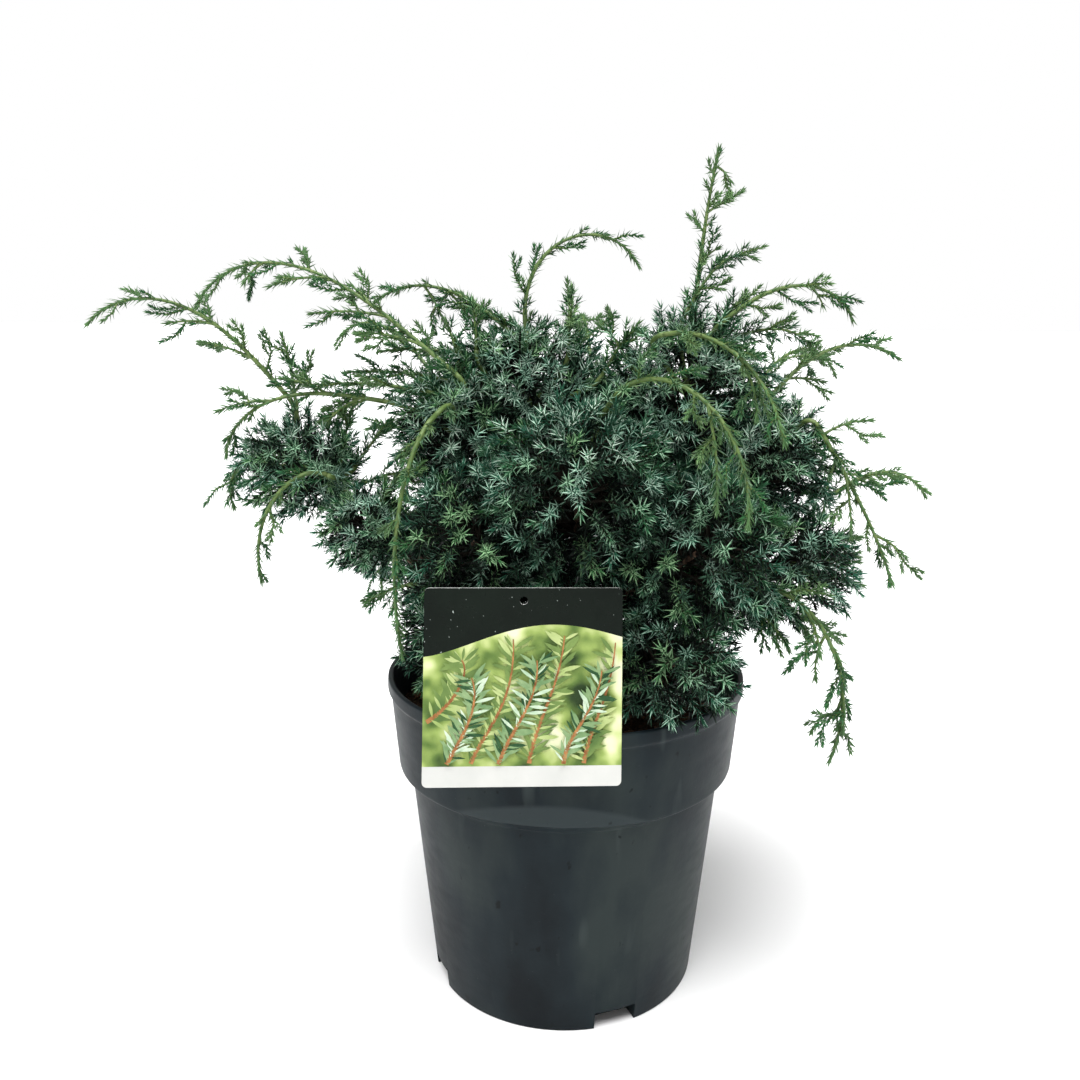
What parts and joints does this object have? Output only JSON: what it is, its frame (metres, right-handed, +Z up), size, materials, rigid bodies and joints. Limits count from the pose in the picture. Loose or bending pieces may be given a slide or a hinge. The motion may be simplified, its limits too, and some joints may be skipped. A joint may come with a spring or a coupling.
{
  "type": "potted chinese juniper",
  "caption": "Spreading blue-green juniper with long arching shoots, rooted in a dark round plastic nursery pot with a plain picture label hooked over the rim.",
  "frame": {"origin": "the middle of the pot's flat underside, on the surface that the pot stands on", "axes": "+Z up along the pot's axis, +X to the right seen from the side with the label, +Y away from that side"},
  "size_m": [0.5869, 0.4169, 0.5738],
  "materials": {
    "pot": "satin",
    "compost": "matte",
    "label": "satin",
    "bark": "matte",
    "foliage": "matte",
    "shoot": "matte"
  },
  "bodies": {
    "root": {"pot": "pot", "plant_label": "label", "compost": "compost", "trunk": "bark", "bough_shoulder_left": "bark", "bough_shoulder_right": "bark", "bough_lobe_left": "bark", "bough_lobe_left_low": "bark", "bough_side_right": "bark", "bough_side_right_low": "bark", "bough_front_middle": "bark", "bough_front_right": "bark", "bough_front_left": "bark", "bough_front_low": "bark", "bough_rim_right": "bark", "bough_rim_left": "bark", "bough_back_left": "bark", "bough_back_middle": "bark", "bough_back_right": "bark", "bough_back_left_low": "bark", "bough_back_right_low": "bark", "shoot_arch_far_left": "shoot", "shoot_arch_left": "shoot", "shoot_arch_left_inner": "shoot", "shoot_arch_middle": "shoot", "shoot_leader_tall": "shoot", "shoot_arch_right_top": "shoot", "shoot_arch_right": "shoot", "shoot_arch_front_upper": "shoot", "shoot_arch_front": "shoot", "shoot_droop_right": "shoot", "shoot_reach_right": "shoot", "shoot_droop_right_low": "shoot", "shoot_hanging_front": "shoot", "shoot_arch_left_low": "shoot", "shoot_droop_left": "shoot", "shoot_arch_back_left": "shoot", "shoot_arch_back": "shoot", "shoot_arch_back_right": "shoot", "shoot_droop_back_left": "shoot", "shoot_droop_back": "shoot", "foliage_crown_top": "foliage", "foliage_shoulder_left": "foliage", "foliage_shoulder_right": "foliage", "foliage_lobe_left": "foliage", "foliage_lobe_left_low": "foliage", "foliage_side_right": "foliage", "foliage_side_right_low": "foliage", "foliage_front_middle": "foliage", "foliage_front_right": "foliage", "foliage_front_left": "foliage", "foliage_front_low": "foliage", "foliage_rim_right": "foliage", "foliage_rim_left": "foliage", "foliage_back_left": "foliage", "foliage_back_middle": "foliage", "foliage_back_right": "foliage", "foliage_back_left_low": "foliage", "foliage_back_right_low": "foliage"}
  },
  "joints": []
}
